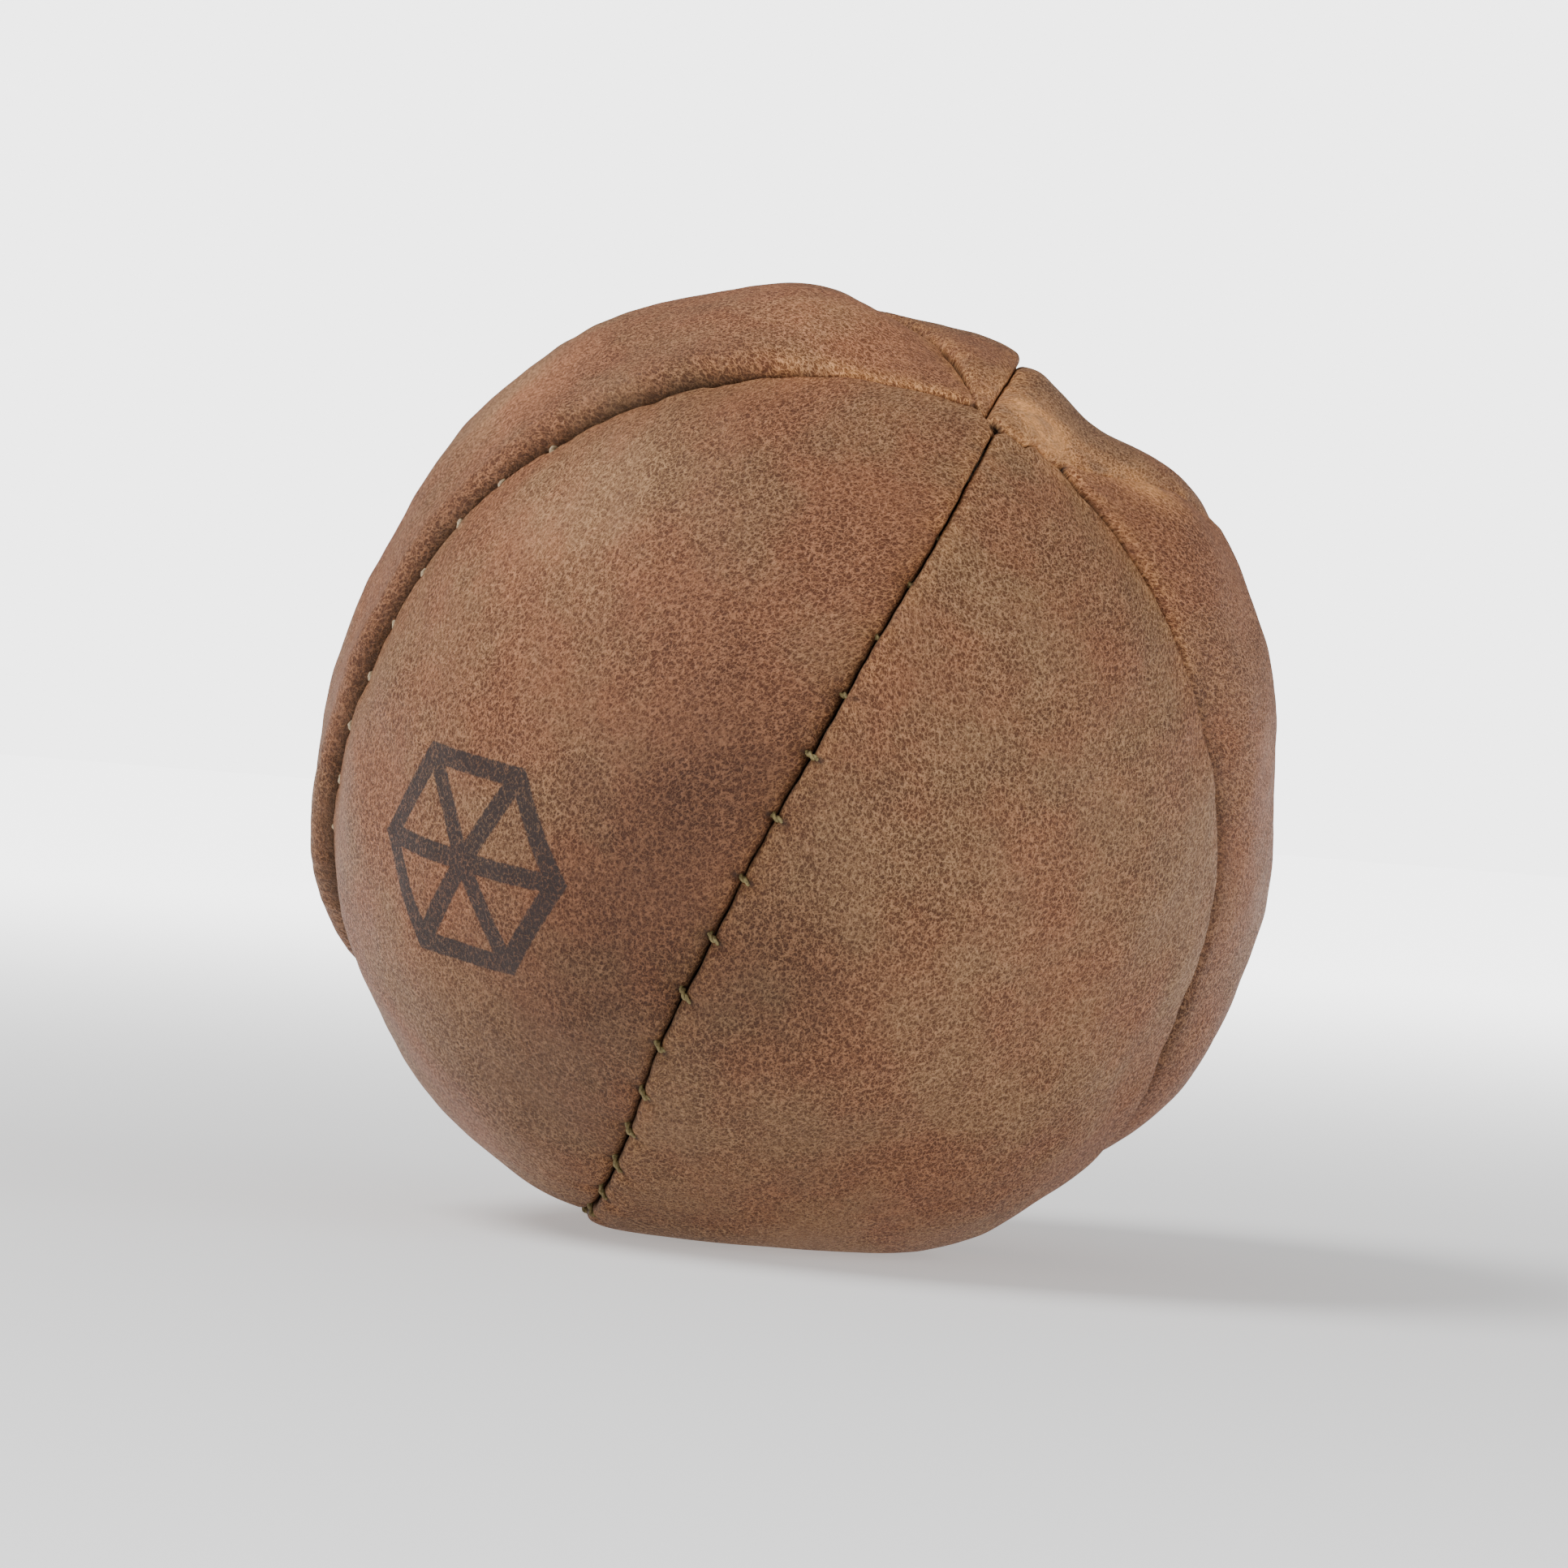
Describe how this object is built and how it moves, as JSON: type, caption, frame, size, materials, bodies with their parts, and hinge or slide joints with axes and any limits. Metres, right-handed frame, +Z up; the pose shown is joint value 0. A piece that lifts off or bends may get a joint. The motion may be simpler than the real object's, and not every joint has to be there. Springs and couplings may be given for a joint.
{
  "type": "hand-sized medicine ball",
  "caption": "Small sand-filled leather ball sewn from gore panels, lying on the flat patch of its slumped base, for hand exercise, throwing and juggling.",
  "frame": {"origin": "centre of the flat patch that the ball rests on, straight below the ball's centre", "axes": "+Z up; -Y towards the side with the closing seam; +X to the right seen from there; the pole axis of the seams leans 42.5 degrees from +Z"},
  "size_m": [0.066, 0.0657, 0.0647],
  "materials": {
    "leather": "waxed pull-up, matt to soft sheen, lighter at rubbed edges",
    "thread": "waxed, matt",
    "cotton": "plain weave, matt",
    "tie_cord": "twisted, matt",
    "sand": "dry, fine"
  },
  "bodies": {
    "root": {"leather_panel_1": "leather", "leather_panel_2": "leather", "leather_panel_3": "leather", "leather_panel_4": "leather", "leather_panel_5": "leather", "leather_panel_6": "leather", "seam_thread_1": "thread", "seam_thread_2": "thread", "seam_thread_3": "thread", "seam_thread_4": "thread", "seam_thread_5": "thread", "seam_thread_6": "thread", "closing_thread": "thread", "sand_bag": "cotton", "bag_tie": "tie_cord", "sand_filling": "sand"}
  },
  "joints": []
}
